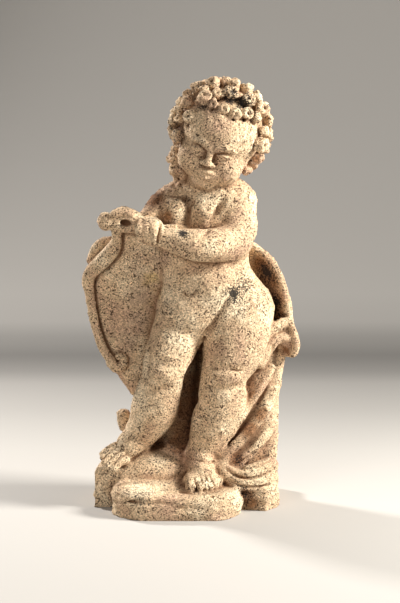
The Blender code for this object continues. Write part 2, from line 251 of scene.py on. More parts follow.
add(limb((128, 6, 420, 82), (116, -12, 348, 81), (94, -34, 292, 63), (84, -40, 262, 57),
         (77, -34, 205, 61), (66, -30, 160, 61), (44, -31, 102, 48), (24, -34, 54, 35)), 14)
add(ball((90, -76, 268), (36, 26, 26)), 14)
add(ball((84, -22, 186), (54, 50, 60), (0, 12, 0)), 20)
add(ball((108, 30, 340), (64, 54, 70)), 30)
crease(((44, 296), (66, 290), (90, 291), (118, 286), (142, 292)), 9, 4, 8)
crease(((98, 287), (112, 284), (126, 283), (132, 284)), 2.2, 3.5, 2)
crease(((40, 246), (64, 236), (92, 234), (124, 244)), 10, 3, 10)

add(limb((-20, -4, 400, 66), (-42, -36, 345, 60), (-60, -62, 290, 56), (-70, -62, 250, 53),
         (-88, -48, 192, 57), (-102, -42, 150, 49), (-126, -35, 112, 40), (-148, -44, 88, 33)), 14)
add(ball((-62, -100, 276), (32, 24, 26)), 14)
add(ball((-84, -24, 182), (50, 46, 62), (0, 16, 0)), 20)
crease(((-104, 304), (-76, 308), (-40, 302)), 12, 3, 10)
crease(((-108, 240), (-78, 234), (-44, 240)), 12, 4, 10)
crease(((-102, 340), (-104, 300), (-110, 262), (-118, 214)), 8, 3, 8)


def toes(knuckles, tips, radii, blend):
    """Five toes, each fattest near its end, that grow out of the foot."""
    for knuckle, tip, radius in zip(knuckles, tips, radii):
        middle = [(a + b) / 2 for a, b in zip(knuckle, tip)]
        middle[2] += 0.35 * radius
        add(limb((*knuckle, 0.95 * radius), (*middle, 0.92 * radius), (*tip, 1.04 * radius)), blend)


def between_toes(grooves, radius, depth):
    """A groove between each two toes, each from its root down to the tips."""
    for top, tip in grooves:
        middle = ((top[0] + tip[0]) / 2, (top[1] + tip[1]) / 2)
        crease((top, middle, tip), radius, depth, 1.5, (0.1, 1))


add(limb((24, -34, 54, 36), (28, -64, 40, 37), (30, -94, 22, 31)), 12)
add(ball((34, -100, 10), (46, 36, 22)), 12)
add(ball((8, -108, 14), (24, 34, 20)), 10)
add(ball((18, -20, 20), (34, 34, 28)), 14)
toes([(2, -112, 18), (20, -118, 22), (32, -116, 22), (43, -108, 21), (54, -98, 19)],
     [(2, -148, 8), (26, -153, 6), (39, -148, 6), (51, -140, 6), (63, -129, 8)],
     (13, 7.6, 7.2, 7.2, 7.6), 7)
between_toes((((9, 28), (17, 0)), ((24, 34), (33, 2)), ((35, 35), (46, 3)), ((46, 34), (58, 6))), 2.6, 5)
crease(((-18, 58), (6, 61), (28, 60), (52, 55), (66, 50)), 3.5, 4, 4)
cut(limb((86, -116, 6, 3), (66, -148, -4, 5), (20, -172, -5, 5), (-22, -158, -4, 4)), 5)

add(ball((-100, -16, 26), (84, 66, 44)), 26)
add(limb((-148, -44, 92, 31), (-158, -52, 82, 25), (-166, -58, 72, 16)), 10)
add(ball((-166, -64, 58), (26, 20, 15), (0, 35, 20)), 8)
toes([(-186, -54, 92), (-184, -62, 86), (-178, -70, 80), (-168, -78, 72), (-156, -86, 61)],
     [(-219, -70, 72), (-216, -80, 65), (-211, -90, 55), (-203, -98, 46), (-190, -104, 40)],
     (6, 6.5, 7, 7.5, 9.5), 1.5)
between_toes((((-190, 85), (-214, 61)), ((-178, 80), (-207, 50)), ((-165, 68), (-198, 41))), 2.4, 6)
crease(((-172, 112), (-176, 104), (-181, 96)), 3, 6, 2)
crease(((-176, 116), (-160, 110), (-140, 100), (-124, 88)), 3.5, 3.5, 4)
crease(((-112, 76), (-134, 62), (-156, 48), (-174, 38)), 4, 6, 4, (0.3, 0.6))


# The torso and arms
# A child's fat body, leaning to its right. The left arm lies across the chest in deep relief,
# undercut above, and the right arm drops back to the shield's top.

add(ball((52, 8, 402), (106, 80, 78)), 30)
add(ball((112, 2, 450), (82, 68, 62), (0, 24, 0)), 24)
add(ball((38, -8, 470), (99, 84, 94), (0, 0, -15)), 34)
add(ball((32, -8, 540), (92, 76, 88), (0, 0, -12)), 30)
add(limb((96, -14, 584, 50), (98, -4, 530, 49), (112, 0, 480, 56)), 20)
add(ball((32, 2, 625), (84, 62, 98), (0, 0, -12)), 24)
add(ball((-4, -34, 430), (66, 50, 60)), 24)
add(limb((-34, -36, 600, 45), (-25, -28, 540, 46), (-20, -22, 484, 48), (-26, -16, 436, 54)), 18)
add(ball((32, -38, 666), (40, 33, 42), (0, 0, -10)), 12)
add(ball((-36, -32, 664), (34, 34, 44)), 10)
add(ball((72, -24, 690), (34, 34, 34)), 12)
add(limb((-30, 16, 694, 40), (34, 16, 704, 52), (104, 6, 690, 55)), 18)
add(limb((48, 6, 712, 60), (60, -10, 790, 58)), 24)
add(ball((112, 56, 384), (66, 54, 62)), 20)
add(ball((2, 54, 382), (62, 52, 60)), 20)
add(ball((92, 56, 660), (42, 26, 52), (0, -14, 0)), 24)
add(ball((-16, 54, 660), (38, 26, 50), (0, 14, 0)), 24)
add(ball((-58, 16, 630), (40, 30, 60)), 12)
cut(limb((38, 86, 690, 3), (36, 84, 600, 5), (38, 92, 500, 5), (46, 104, 430, 4)), 24)
crease(((8, 700), (0, 682), (-3, 660), (-4, 640)), 6, 6, 5)
crease(((-62, 704), (-40, 708), (-16, 704), (2, 694)), 9, 4, 9)
crease(((-44, 532), (-10, 530), (30, 528), (70, 534)), 14, 4, 12)
crease(((-14, 484), (-12, 472), (-4, 464), (6, 468), (13, 481), (17, 508)), 4, 6, 3)
crease(((2, 500), (2, 488), (1, 478)), 8, 4, 6)
add(ball((4, -62, 420), (52, 32, 46)), 16)
add(limb((-40, -40, 352, 50), (-32, -58, 324, 42), (-44, -74, 296, 36)), 12)
crease(((108, 478), (92, 456), (75, 428), (61, 400), (46, 376)), 7, 8, 9, (0.1, 1))
crease(((-104, 398), (-72, 388), (-40, 378), (-8, 364), (16, 346)), 9, 11, 7, (0.3, 0.6))
for depth in (-100, -86, -72, -58, -44, -30, -16, -4):
    cut(limb((41, depth, 390, 3), (37, depth, 364, 5.5), (27, depth, 332, 7), (18, depth, 308, 10),
             (8, depth + 4, 284, 15), (1, depth + 8, 256, 18), (2, depth + 14, 206, 20)), 3)
cut(ball((10, 0, 236), (24, 52, 84), (0, 4, 0)), 8)

add(limb((104, 4, 682, 60), (113, -14, 632, 53), (105, -44, 598, 46)), 16)
add(limb((106, -46, 596, 45), (64, -84, 591, 41), (14, -104, 593, 39),
         (-36, -108, 604, 30), (-62, -108, 610, 24)), 8)
cut(limb((-84, -56, 648, 6), (-52, -74, 640, 9), (-10, -79, 637, 10), (30, -77, 637, 9),
         (50, -70, 642, 5)), 4)
cut(limb((-50, -66, 624, 6), (-10, -70, 622, 8), (30, -68, 622, 6)), 4)
cut(limb((-58, -66, 690, 3), (-62, -70, 660, 8), (-66, -66, 634, 11)), 5)
crease(((84, 704), (76, 688), (66, 670), (57, 654), (49, 644)), 8, 8, 7, (0.1, 0.5))
crease(((-22, 562), (6, 555), (30, 552), (56, 554), (72, 562)), 4, 4.5, 4)
crease(((20, 606), (34, 620), (44, 630)), 6, 4, 6)

add(limb((-34, 14, 698, 42), (-70, -10, 684, 33), (-98, -36, 656, 26), (-124, -58, 638, 21)), 10)


# The hands
# The left hand closes on the shield's border, thumb uppermost. The right hand lies over
# the scroll at the shield's top, its fingers curling down over the end.

add(ball((-86, -104, 622), (26, 32, 33)), 8)
add(ball((-102, -100, 622), (25, 28, 29)), 8)
for i in range(3):
    across = -121 + 17 * i
    add(limb((across, -110, 648, 9), (across - 1, -130, 634, 10), (across + 2, -124, 612 - 4 * i, 9)), 6)
    cut(limb((across + 8, -134, 654, 2), (across + 7, -141, 634, 3.6), (across + 9, -136, 608 - 4 * i, 2)), 2)
add(limb((-78, -100, 644, 12), (-96, -102, 652, 10), (-108, -100, 652, 9)), 5)
cut(limb((-131, -112, 656, 2), (-135, -116, 634, 4), (-130, -114, 606, 3)), 3)
add(ball((-150, -72, 658), (36, 30, 21), (0, 4, 0)), 6)
for i in range(4):
    depth = -100 + 15 * i
    add(limb((-142, depth + 2, 668, 10), (-162, depth, 673, 10.5), (-182, depth - 1, 667, 10)), 4)
    cut(limb((-150, depth + 7, 681, 1.2), (-174, depth + 7, 680, 2), (-194, depth + 6, 668, 1.2)), 2)
crease(((-70, 652), (-72, 638), (-76, 614), (-80, 592)), 3.5, 6, 2, (0.5, 0.6))
add(ball((-203, -86, 649), (20, 21, 24)), 6)
cut(limb((-197, -108, 668, 1.6), (-194, -110, 655, 2.6), (-190, -108, 642, 2)), 2)


# The shield
# A bulging field with a rolled border that grows out of the scroll at its top and ends in a
# volute below, leaning back beside the child, and a plain panel under it behind the calf.

SHIELD_EDGE = (
    (-165, 640), (-176, 616), (-196, 590), (-226, 562), (-249, 534),
    (-254, 500), (-247, 462), (-242, 420), (-233, 362), (-218, 322), (-197, 292))
SHIELD_FOOT = ((-176, 264), (-148, 222), (-112, 178))
SHIELD_AXIS = -99
SHIELD_TOP = 640
SHIELD_FRONT = 66
SHIELD_LEAN = 96
SHIELD_CURVE = 140
SHIELD_BULGE = 12
SHIELD_SPREAD = 165
SHIELD_HALF = 15
VALLEY_DEPTH = 9
VALLEY_X, VALLEY_Z = -98, 440
VALLEY_WIDE, VALLEY_TALL = 22, 130
SHIELD_BORDER = (
    (-178, 630, 12), (-178, 604, 14), (-188, 579, 17), (-206, 556, 18), (-228, 536, 18),
    (-246, 516, 16), (-251, 492, 15), (-247, 462, 13), (-243, 430, 12), (-235, 384, 12),
    (-222, 340, 12), (-205, 306, 12))
BORDER_GROOVE = (
    (-164, 613), (-163, 583), (-175, 558), (-198, 535), (-222, 518), (-233, 500),
    (-235, 477), (-231, 432), (-222, 381), (-210, 345), (-196, 314))


def shield_y(x, z):
    """Front-to-back place of the field's middle surface."""
    lean = SHIELD_LEAN * (1 - np.exp((z - SHIELD_TOP) / SHIELD_CURVE)) - SHIELD_FRONT
    across = (x - SHIELD_AXIS) / SHIELD_SPREAD
    swell = SHIELD_BULGE * (1 - np.minimum(1, across * across))
    valley = VALLEY_DEPTH * np.exp(-((x - VALLEY_X) / VALLEY_WIDE) ** 2)
    return lean - swell + valley * np.exp(-((z - VALLEY_Z) / VALLEY_TALL) ** 2)


def field(outline, half, blend, middle=shield_y):
    """A plate of even thickness on an outline in elevation, following a middle surface."""
    outline = np.array(outline, float)
    low = (outline[:, 0].min(), -90, outline[:, 1].min())
    high = (outline[:, 0].max(), 60, outline[:, 1].max())

    def measure(x, y, z):
        inside = np.full(np.broadcast_shapes(x.shape, z.shape), FAR, np.float32)
        sign = np.ones_like(inside)
        for a, b in zip(outline, np.roll(outline, -1, axis=0)):
            along = b - a
            px, pz = x - a[0], z - a[1]
            share = np.clip((px * along[0] + pz * along[1]) / (along @ along), 0, 1)
            inside = np.minimum(inside, np.hypot(px - share * along[0], pz - share * along[1]))
            crosses = ((a[1] > z) != (b[1] > z)) & (
                x < (b[0] - a[0]) * (z - a[1]) / (b[1] - a[1] + 1e-9) + a[0])
            sign = np.where(crosses, -sign, sign)
        across = inside * sign + blend
        thick = np.abs(y - middle(x, z)) * 0.93 - half + blend
        corner = np.sqrt(np.maximum(across, 0) ** 2 + np.maximum(thick, 0) ** 2)
        return corner + np.minimum(np.maximum(across, thick), 0) - blend

    return low, high, measure


mirror_edge = tuple((2 * SHIELD_AXIS - x, z) for x, z in reversed(SHIELD_EDGE + SHIELD_FOOT))
add(field(SHIELD_EDGE + SHIELD_FOOT + mirror_edge, SHIELD_HALF, 8), 8)
border = [(x, float(shield_y(x, z)) - 20, z, radius) for x, z, radius in SHIELD_BORDER]
add(limb(*border), 4)
add(limb(*[(x + 1, y + 22, z, radius - 1) for x, y, z, radius in border]), 8)
crease(BORDER_GROOVE, 4.5, 4.5, 4, (1, 1))
add(limb((-197, -2, 292, 15), (-184, -6, 278, 14), (-168, -8, 286, 12), (-166, -10, 304, 10),
         (-178, -12, 306, 8)), 3)
cut(ball((-179, -24, 292), (4, 8, 4)), 2)
cut(limb((-152, 2, 318, 3), (-156, 0, 296, 4), (-160, 2, 270, 3)), 4)
add(limb((-182, 22, 274, 11), (-150, 26, 228, 12), (-116, 28, 186, 12)), 6)
cut(limb((-170, 4, 276, 2), (-140, 8, 232, 3), (-112, 12, 192, 2)), 4)
add(limb((-196, -22, 600, 8), (-214, -12, 592, 12), (-232, -4, 574, 14), (-244, 6, 546, 14)), 3)
add(limb((-118, -80, 640, 22), (-150, -84, 644, 24), (-182, -84, 646, 20)), 6)
cut(ball((-155, -106, 646), (14, 20, 9), (0, 8, 0)), 3)
cut(ball((-144, -110, 645), (8, 10, 6)), 2)
cut(ball((-166, -108, 643), (5, 8, 4)), 2)
cut(limb((-176, -100, 624, 2), (-160, -108, 617, 2.5), (-136, -104, 622, 2)), 4)
crease(((-134, 330), (-122, 332), (-110, 338), (-98, 336)), 2.2, 5, 2, (0.3, 1))
cut(ball((-112, -34, 337), (6, 8, 3.5), (0, -20, 0)), 2)
crease(((-172, 409), (-168, 407), (-164, 404)), 2, 4, 1)

add(limb((-168, 20, 152, 17), (-160, 26, 126, 20), (-116, 48, 96, 34)), 10)
cut(ball((-166, 16, 178), (26, 30, 12)), 4)


# The cloth
# Carved as one with the block: a rolled rim swings out from behind the left shoulder blade,
# leaving a deep hollow by the hip, and the folds fall from a hanging corner to the ground.

CLOTH_ROLL = 13
CLOTH_HALF = 10
CLOTH_FOLD = 12
CLOTH_MIDDLE = 40
CLOTH_DEPTH = 74
CLOTH_DROP = 150
CLOTH_COLUMNS = 60
CLOTH_TOP = 580
FOLDS_END = 700
RIGHT_HIP = 108
OUTER_BAND = 0.020
INNER_BAND = 0.013
CORNER_EDGE = (
    (207, 371), (232, 396), (251, 402), (263, 375), (274, 334), (268, 309), (252, 303), (230, 303),
    (220, 330), (208, 350))

rim = [(146, 44, 580), (170, 40, 566), (195, 36, 544), (216, 32, 512),
       (232, 30, 470), (243, 28, 424), (248, 26, 380), (252, 24, 346)]
fall = [(226, 26, 300), (214, 26, 242), (206, 26, 192), (204, 26, 116), (198, 26, 40), (194, 26, -40)]


def cloth_rows():
    """Points of the cloth's middle surface, from the rim round the back to the right hip."""
    top = smooth_route(rim + fall, 4)
    part = np.linspace(0, 1, CLOTH_COLUMNS)[None, :]
    x, y, z = (top[:, i][:, None] for i in range(3))
    swing = np.pi * part
    out = x - CLOTH_MIDDLE
    reach = out + (RIGHT_HIP - out) * np.minimum(1, 2 * part)
    deep = 1 - z / FOLDS_END
    fold = CLOTH_FOLD * np.sin(8 * swing + z / 90) * deep
    fold += 0.35 * CLOTH_FOLD * np.sin(17 * swing + z / 60 + 1.3) * deep
    depth = y + (CLOTH_DEPTH + fold) * np.sin(swing)
    height = z - CLOTH_DROP * part * z / CLOTH_TOP
    return np.stack((CLOTH_MIDDLE + reach * np.cos(swing), depth, height), axis=-1)


def shell(rows, half):
    """A closed plate round a grid of points, as a distance from its surface."""
    down, across = np.gradient(rows, axis=0), np.gradient(rows, axis=1)
    normal = np.cross(down, across)
    normal /= np.maximum(np.linalg.norm(normal, axis=2, keepdims=True), 1e-6)
    m, n = rows.shape[:2]
    points = np.concatenate(((rows + half * normal).reshape(-1, 3), (rows - half * normal).reshape(-1, 3)))
    index = np.arange(m * n).reshape(m, n)
    front = np.stack((index[:-1, :-1], index[:-1, 1:], index[1:, 1:], index[1:, :-1]), -1).reshape(-1, 4)
    back = front[:, ::-1] + m * n
    loop = np.concatenate((index[0, :-1], index[:-1, -1], index[-1, :0:-1], index[:0:-1, 0]))
    after = np.roll(loop, -1)
    rim_faces = np.stack((after, loop, loop + m * n, after + m * n), -1)
    quads = np.concatenate((front, back, rim_faces)).astype(np.uint32)
    world = (points * MIL + axis_foot - grid_low).astype(np.float32)
    voxels = openvdb.createLinearTransform(voxelSize=STEP)
    grid = openvdb.FloatGrid.createLevelSetFromPolygons(
        world, quads=quads, transform=voxels,
        exBandWidth=OUTER_BAND / STEP, inBandWidth=INNER_BAND / STEP)
    whole = np.empty(shape, np.float32)
    grid.copyToArray(whole)
    whole /= MIL
    low, high = points.min(axis=0), points.max(axis=0)

    def measure(x, y, z):
        return whole[room(low, high)[0]]

    return low, high, measure


add(shell(cloth_rows(), CLOTH_HALF), 6)
add(limb(*[(*place, CLOTH_ROLL) for place in rim]), 5)


def corner_y(x, z):
    """Front-to-back place of the hanging corner, which curls forward lower down."""
    return 12 + 0.12 * (z - 400) + 0.1 * (x - 240)


add(field(CORNER_EDGE, 11, 7, corner_y), 6)
add(limb((160, -30, 330, 16), (188, -16, 362, 15), (224, -2, 386, 13), (247, 6, 394, 10)), 7)
add(limb((176, -24, 290, 13), (206, -12, 340, 13), (226, -6, 352, 12), (250, -2, 350, 11)), 6)
add(limb((252, 2, 384, 8), (262, -6, 352, 10), (264, -8, 328, 9), (256, -6, 312, 8)), 6)
cut(ball((233, -9, 314), (13, 14, 26), (0, -28, 0)), 3)
cut(limb((163, -48, 292, 3), (199, -31, 349, 4), (223, -20, 366, 4), (244, -8, 371, 3)), 3)
add(limb((190, 30, 330, 32), (172, 26, 250, 42), (160, 24, 170, 54), (150, 24, 90, 62),
         (146, 20, 10, 64)), 16)
add(limb((120, 40, 380, 50), (116, 48, 200, 56), (110, 50, 20, 60)), 16)
add(limb((60, 66, 380, 40), (46, 72, 200, 44), (40, 66, 20, 58)), 12)
add(limb((-20, 44, 300, 36), (-30, 58, 180, 46), (-40, 54, 20, 58)), 12)
ridges = [
    ((226, 20, 305, 14), (214, 15, 242, 15), (206, 8, 192, 17), (204, 2, 116, 18),
     (200, -8, 60, 19), (188, -20, 20, 21)),
    ((204, -4, 276, 9), (168, -20, 209, 13), (140, -32, 168, 14), (106, -42, 118, 14), (76, -52, 66, 13)),
    ((206, -8, 216, 14), (180, -28, 160, 17), (147, -42, 122, 17), (114, -54, 88, 15), (86, -64, 50, 12)),
    ((206, -16, 136, 15), (178, -38, 104, 17), (146, -54, 72, 16), (112, -66, 46, 12))]
swags = [
    ((68, -62, 44, 12), (92, -76, 30, 15), (126, -82, 26, 18), (162, -76, 32, 20), (200, -56, 40, 20)),
    ((70, -66, 28, 10), (94, -84, 14, 14), (126, -92, 6, 16), (164, -88, 8, 18), (200, -66, 14, 18))]
valleys = [
    ((196, -10, 240, 4), (164, -30, 186, 8), (136, -40, 146, 8), (104, -50, 104, 7), (78, -56, 74, 4)),
    ((206, -22, 172, 4), (178, -44, 132, 8), (146, -58, 96, 9), (112, -68, 66, 6)),
    ((196, -40, 92, 5), (160, -62, 66, 8), (132, -74, 52, 7), (104, -80, 50, 3))]
add(limb((130, -14, 60, 42), (90, -14, 50, 40), (70, -14, 30, 40)), 12)
for ridge in ridges:
    add(limb(*ridge), 9)
for swag in swags:
    add(limb(*swag), 12)
for valley in valleys:
    cut(limb(*valley), 5)
cut(ball((116, -84, 46), (20, 14, 8), (0, 12, 10)), 4)
crease(((86, 42), (104, 28), (132, 18), (164, 20), (200, 30)), 3.5, 6, 3)
crease(((100, 48), (128, 38), (160, 42), (200, 58)), 3.5, 6, 3)
crease(((96, 14), (122, 2), (156, -4), (196, 0)), 3.5, 5, 3)
cut(limb((206, -24, 336, 3), (200, -22, 300, 5), (184, -30, 262, 5)), 6)


# The head and its curls
# Bent to the child's right and looking down, with a plain child's face and short hair in
# snail curls, each a coiled lock with a hole drilled in its middle.

HEAD = Vector((68, -33, 845))
HEAD_TURN = Euler((math.radians(17), math.radians(17), math.radians(-5)), "ZXY").to_matrix()
HAIR_MIDDLE = Vector((-4, 28, 16))
HAIR_RADII = Vector((119, 108, 119))


def in_head(x, y, z):
    return tuple(HEAD + HEAD_TURN @ Vector((x, y, z)))


def head_ball(centre, radii):
    return ball(in_head(*centre), radii, HEAD_TURN)


def head_limb(*stations, parts=4):
    return limb(*[(*in_head(x, y, z), radius) for x, y, z, radius in stations], parts=parts)


def both_sides(work, stations, blend):
    """Works a feature of the face on its two sides."""
    for side in (-1, 1):
        work(head_limb(*[(side * x, y, z, radius) for x, y, z, radius in stations]), blend)


add(head_ball((0, 24, 22), (100, 98, 98)), 16)
add(head_ball((0, -14, -30), (82, 72, 82)), 20)
add(head_ball((0, -32, 30), (82, 62, 58)), 22)
for side in (-1, 1):
    add(head_ball((side * 40, -48, -48), (38, 36, 36)), 18)
add(head_ball((0, -62, -92), (26, 24, 18)), 14)
add(head_ball((0, -60, -62), (36, 32, 28)), 18)
both_sides(cut, ((46, -93, -8, 8), (32, -102, -8, 10), (20, -101, -9, 7)), 10)
both_sides(add, ((52, -76, 12, 5), (32, -90, 14, 6), (12, -92, 6, 5)), 12)
for side in (-1, 1):
    add(head_ball((side * 31, -76, -12), (16, 15, 12)), 4)
both_sides(add, ((46, -84, -10, 2.8), (31, -93, -5, 3.2), (17, -88, -10, 2.8)), 2)
both_sides(cut, ((47, -88, -18, 1.8), (31, -94, -19, 2.8), (17, -90, -18, 1.8)), 2)
both_sides(add, ((44, -84, -22, 2), (31, -89, -24, 2.4), (19, -87, -21, 2)), 3)
add(head_limb((0, -88, 4, 7), (0, -97, -14, 7.5), (0, -104, -28, 9)), 8)
add(head_ball((0, -105, -32), (10.5, 10, 9)), 5)
for side in (-1, 1):
    add(head_ball((side * 12, -97, -35), (8, 9, 7)), 4)
    cut(head_ball((side * 6.5, -106, -41), (3.6, 4, 3.2)), 2)
add(head_limb((-23, -87, -60, 3.4), (-9, -96, -55, 5.6), (0, -97, -57, 5), (9, -96, -55, 5.6),
              (23, -87, -60, 3.4)), 5)
add(head_limb((-18, -87, -67, 3.4), (0, -94, -70, 7.4), (18, -87, -67, 3.4)), 5)
cut(head_limb((-26, -91, -62, 2), (0, -103, -62.5, 2.8), (26, -91, -62, 2)), 2)
cut(head_ball((0, -96, -80), (15, 5, 4)), 6)
cut(head_limb((0, -98, -44, 2), (0, -100, -51, 2)), 4)


def carve_curl(spot, normal, size, wind):
    """A lock coiled up into a knob, its end lapping over, round a drilled hole."""
    side = normal.orthogonal().normalized()
    up = normal.cross(side)
    normal = (normal + 0.30 * math.cos(1.7 * wind) * side + 0.30 * math.sin(2.9 * wind) * up).normalized()
    side = normal.orthogonal().normalized()
    up = normal.cross(side)
    add(head_limb((*(spot - normal * 1.5 * size), 0.6 * size), (*spot, 0.6 * size)), 2)
    add(head_ball(spot - normal * 0.2 * size, 0.78 * size), 2)
    coil = []
    for step in range(8):
        turn = wind + 0.92 * step
        reach = size * (0.64 - 0.035 * step)
        rise = size * (0.02 + 0.055 * step)
        point = spot + side * reach * math.cos(turn) + up * reach * math.sin(turn) + normal * rise
        coil.append((*point, size * (0.43 - 0.015 * step)))
    add(head_limb(*coil, parts=2), 1.5)
    top = spot + normal * 1.1 * size
    cut(head_limb((*top, 0.24 * size), (*(top - normal * 1.2 * size), 0.17 * size)), 2)
    below = HEAD_TURN.inverted() @ Vector((-0.35, -0.3, -1))
    below = (below - normal * below.dot(normal)).normalized()
    gap = spot + below * 0.98 * size + normal * 0.3 * size
    cut(head_limb((*gap, 0.30 * size), (*(gap - normal * 0.8 * size), 0.2 * size)), 2)


NUDGE = 3
MOST_NUDGES = 10


def scalp_spot(direction):
    """The seat of a curl and its outward direction, moved out till it is near the surface."""
    out = direction.normalized()
    spot = HAIR_MIDDLE + Vector([out[i] * HAIR_RADII[i] for i in range(3)])
    normal = Vector([out[i] / HAIR_RADII[i] for i in range(3)]).normalized()
    for _ in range(MOST_NUDGES):
        place = in_head(*spot)
        if skull[tuple(np.searchsorted(line, value) for line, value in zip(lines, place))] > -NUDGE:
            break
        spot = spot + NUDGE * normal
    return spot, normal


FRONT_CURLS = (
    (-37, 44, 21), (-39, 15, 19), (-50, -14, 19), (-73, -2, 18), (-64, 26, 18), (-86, 46, 19),
    (-75, 65, 19), (4, 67, 20), (51, 61, 20), (19, 39, 17), (38, 42, 17), (57, 38, 16),
    (0, 41, 15), (-24, 57, 15), (-17, 42, 14), (101, 27, 18), (97, 12, 16), (91, -3, 16),
    (87, -18, 16), (77, -36, 15), (-69, -40, 17), (-61, -56, 16), (107, 42, 18), (118, 56, 18),
    (132, 69, 20), (72, 22, 15), (-56, 6, 13))
NECK_CURLS = ((-38, -8, 800, 21), (-34, -2, 772, 20), (-22, 4, 746, 19))
CURL_TRIES = 900
CURL_SIZE = 18
CURL_VARIES = 5
CURL_SPACING = 0.0075
HAIRLINE = 0.56

add(head_ball((-6, 32, 18), (100, 94, 102)), 10)
add(ball((-10, 16, 772), 38), 8)
skull = stone.copy()
curls = []
for swing, rise, size in FRONT_CURLS:
    swing, rise = math.radians(swing), math.radians(rise)
    flat = math.cos(rise)
    curls.append((Vector((math.sin(swing) * flat, -math.cos(swing) * flat, math.sin(rise))), size))
for i in range(CURL_TRIES):
    rise = 1 - 2 * (i + 0.5) / CURL_TRIES
    flat = math.sqrt(1 - rise * rise)
    swing = i * math.pi * (3 - math.sqrt(5))
    direction = Vector((flat * math.sin(swing), flat * math.cos(swing), rise))
    on_face = direction.y < -0.12 and rise < HAIRLINE and abs(direction.x) < 0.84
    under_head = rise < -0.84 or (rise < -0.45 and direction.y < 0.05 and abs(direction.x) < 0.72)
    size = CURL_SIZE + CURL_VARIES * math.sin(2.4 * i)
    crowded = any((direction - other).length < CURL_SPACING * (size + other_size)
                  for other, other_size in curls)
    if not (on_face or under_head or crowded):
        curls.append((direction, size))
for number, (direction, size) in enumerate(curls):
    carve_curl(*scalp_spot(direction), size, 2.1 * number)
for x, y, z, size in NECK_CURLS:
    place = HEAD_TURN.inverted() @ (Vector((x, y, z)) - HEAD)
    carve_curl(place, Vector((-0.75, -0.62, 0.1)).normalized(), size, z)


# The weathered surface
# Rain has opened the grain: the whole skin is rough, pitted and softened at the edges, with
# a scatter of deeper holes. The block becomes a mesh of triangles here.

PIECE_TRIANGLES = 190000
MILLIMETRE = 0.001
LATTICE = 48
LATTICE_SHIFT = 1000
NEAR_BLUR = 0.020
FAR_BLUR = 0.055
NECK_HEIGHT = 0.60
ROUGH_MARGIN = 0.0003
FINISHED_MARGIN = 0.0001


def lattice_noise(points, size, seed):
    """Smooth noise between -1 and 1, its lumps about one size across."""
    values = np.random.default_rng(seed).uniform(-1, 1, (LATTICE,) * 3).astype(np.float32)
    scaled = points / size + LATTICE_SHIFT
    cell = np.floor(scaled).astype(int)
    part = scaled - cell
    part = part * part * (3 - 2 * part)
    total = 0
    for i in (0, 1):
        for j in (0, 1):
            for k in (0, 1):
                weight = 1
                for axis, side in enumerate((i, j, k)):
                    weight = weight * (part[:, axis] if side else 1 - part[:, axis])
                spot = (cell + (i, j, k)) % LATTICE
                total = total + weight * values[spot[:, 0], spot[:, 1], spot[:, 2]]
    return total


def blurred(volume, width):
    """The volume averaged over a cube of so many voxels."""
    half = width // 2
    for axis in range(3):
        pads = [(0, 0)] * 3
        pads[axis] = (half + 1, half)
        total = np.cumsum(np.pad(volume, pads, mode="edge"), axis=axis, dtype=np.float32)
        ahead = [slice(None)] * 3
        behind = [slice(None)] * 3
        ahead[axis] = slice(2 * half + 1, None)
        behind[axis] = slice(None, -2 * half - 1)
        volume = (total[tuple(ahead)] - total[tuple(behind)]) / (2 * half + 1)
    return volume


def read_at(volume, points):
    """The volume's values at world points, to the nearest voxel."""
    spot = np.rint((points - grid_low) / STEP).astype(int)
    spot = np.clip(spot, 0, np.array(volume.shape) - 1)
    return volume[spot[:, 0], spot[:, 1], spot[:, 2]]


def largest_part(points, quads):
    """The biggest connected part of the surface, without the closed hollows inside the block."""
    label = np.arange(len(points))
    settled = False
    while not settled:
        lower = label.copy()
        np.minimum.at(lower, quads.ravel(), np.repeat(label[quads].min(axis=1), 4))
        lower = lower[lower]
        settled = (lower == label).all()
        label = lower
    kept = label == np.bincount(label).argmax()
    index = np.cumsum(kept) - 1
    return points[kept], index[quads[kept[quads[:, 0]]]]


def in_box(places, margin):
    """The places moved inside the solid's box by a margin, but for its flat underside."""
    return np.clip(places, box_low + (margin, margin, 0), box_high - margin)


stone = np.maximum(stone, GROUND - lines[2][None, None, :])
volume = openvdb.FloatGrid(float(REACH))
volume.copyFromArray(stone)
volume.transform = openvdb.createLinearTransform(voxelSize=STEP)
points, quads = largest_part(*volume.convertToQuads())
points = points.astype(np.float64) + grid_low

mesh = bpy.data.meshes.new("sandstone_putto")
mesh.from_pydata(points.tolist(), [], quads[:, ::-1].tolist())
mesh.update()
piece = bpy.data.objects.new("sandstone_putto", mesh)
bpy.context.scene.collection.objects.link(piece)

solid = np.clip(0.5 - stone * MIL / STEP, 0, 1).astype(np.float32)
near_stone = read_at(blurred(solid, round(NEAR_BLUR / STEP)), points)
far_stone = read_at(blurred(solid, round(FAR_BLUR / STEP)), points)
normals = np.empty(len(points) * 3, np.float32)
mesh.vertices.foreach_get("normal", normals)
normals = normals.reshape(-1, 3).astype(np.float64)

